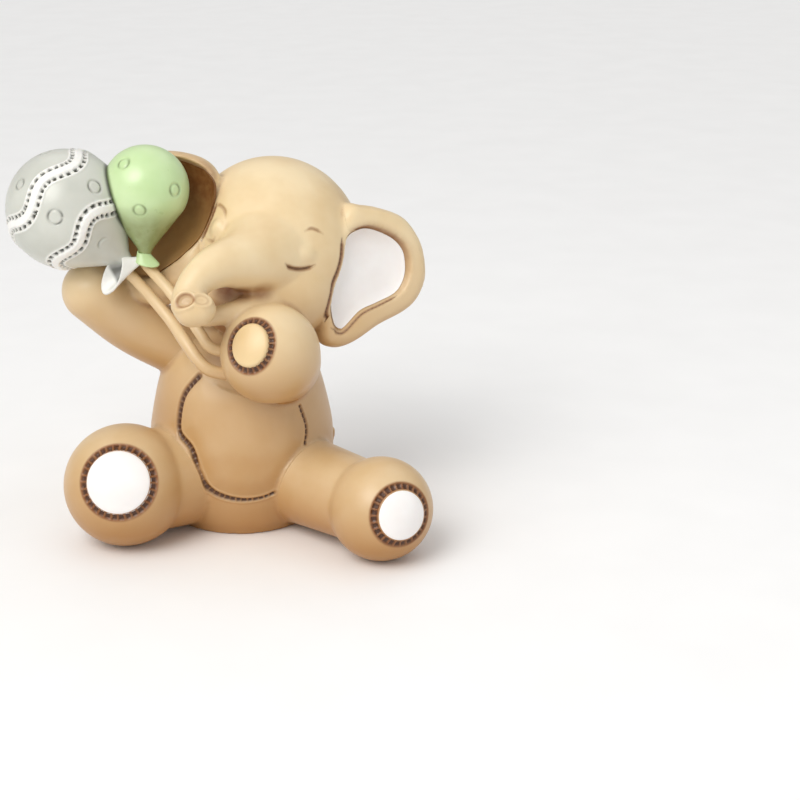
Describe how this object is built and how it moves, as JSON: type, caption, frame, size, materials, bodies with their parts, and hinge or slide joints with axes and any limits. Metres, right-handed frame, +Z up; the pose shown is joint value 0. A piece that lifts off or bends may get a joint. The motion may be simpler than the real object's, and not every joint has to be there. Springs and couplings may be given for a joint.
{
  "type": "animal coin bank",
  "caption": "Seated elephant coin bank in painted resin, holding balloons, with a coin slot across the back and a pull-out stopper in the base.",
  "frame": {"origin": "centre of the flat base, on the surface that the bank stands on", "axes": "+Z up, the elephant faces -Y, +X is the elephant's left"},
  "size_m": [0.1187, 0.0832, 0.1092],
  "materials": {
    "cream_resin": "satin painted cast resin with brown wash in the creases",
    "string_tan": "satin painted cast resin",
    "white_paint": "brushed white paint on cast resin",
    "brown_wash": "cream resin under a brown wash",
    "pad_tan": "satin painted cast resin",
    "grey_paint": "satin grey paint with white bands",
    "green_paint": "satin pale green paint",
    "stopper_pvc": "soft translucent white vinyl"
  },
  "bodies": {
    "bank": {"body_shell": "cream_resin", "head": "cream_resin", "leg_left": "cream_resin", "leg_right": "cream_resin", "raised_arm": "cream_resin", "bent_arm": "cream_resin", "ear_left": "cream_resin", "ear_right": "cream_resin", "tail": "cream_resin", "balloon_string_outer": "string_tan", "balloon_string_inner": "string_tan", "ear_left_lining": "white_paint", "foot_pad_left": "white_paint", "foot_pad_right": "white_paint", "ear_right_lining": "brown_wash", "paw_pad": "pad_tan", "balloon_grey": "grey_paint", "balloon_green": "green_paint"},
    "stopper": {"base_stopper": "stopper_pvc"}
  },
  "joints": [
    {"name": "stopper_pull", "type": "slide", "parent": "bank", "child": "stopper", "axis": [0, 0, -1], "range_m": [0, 0.014]}
  ]
}
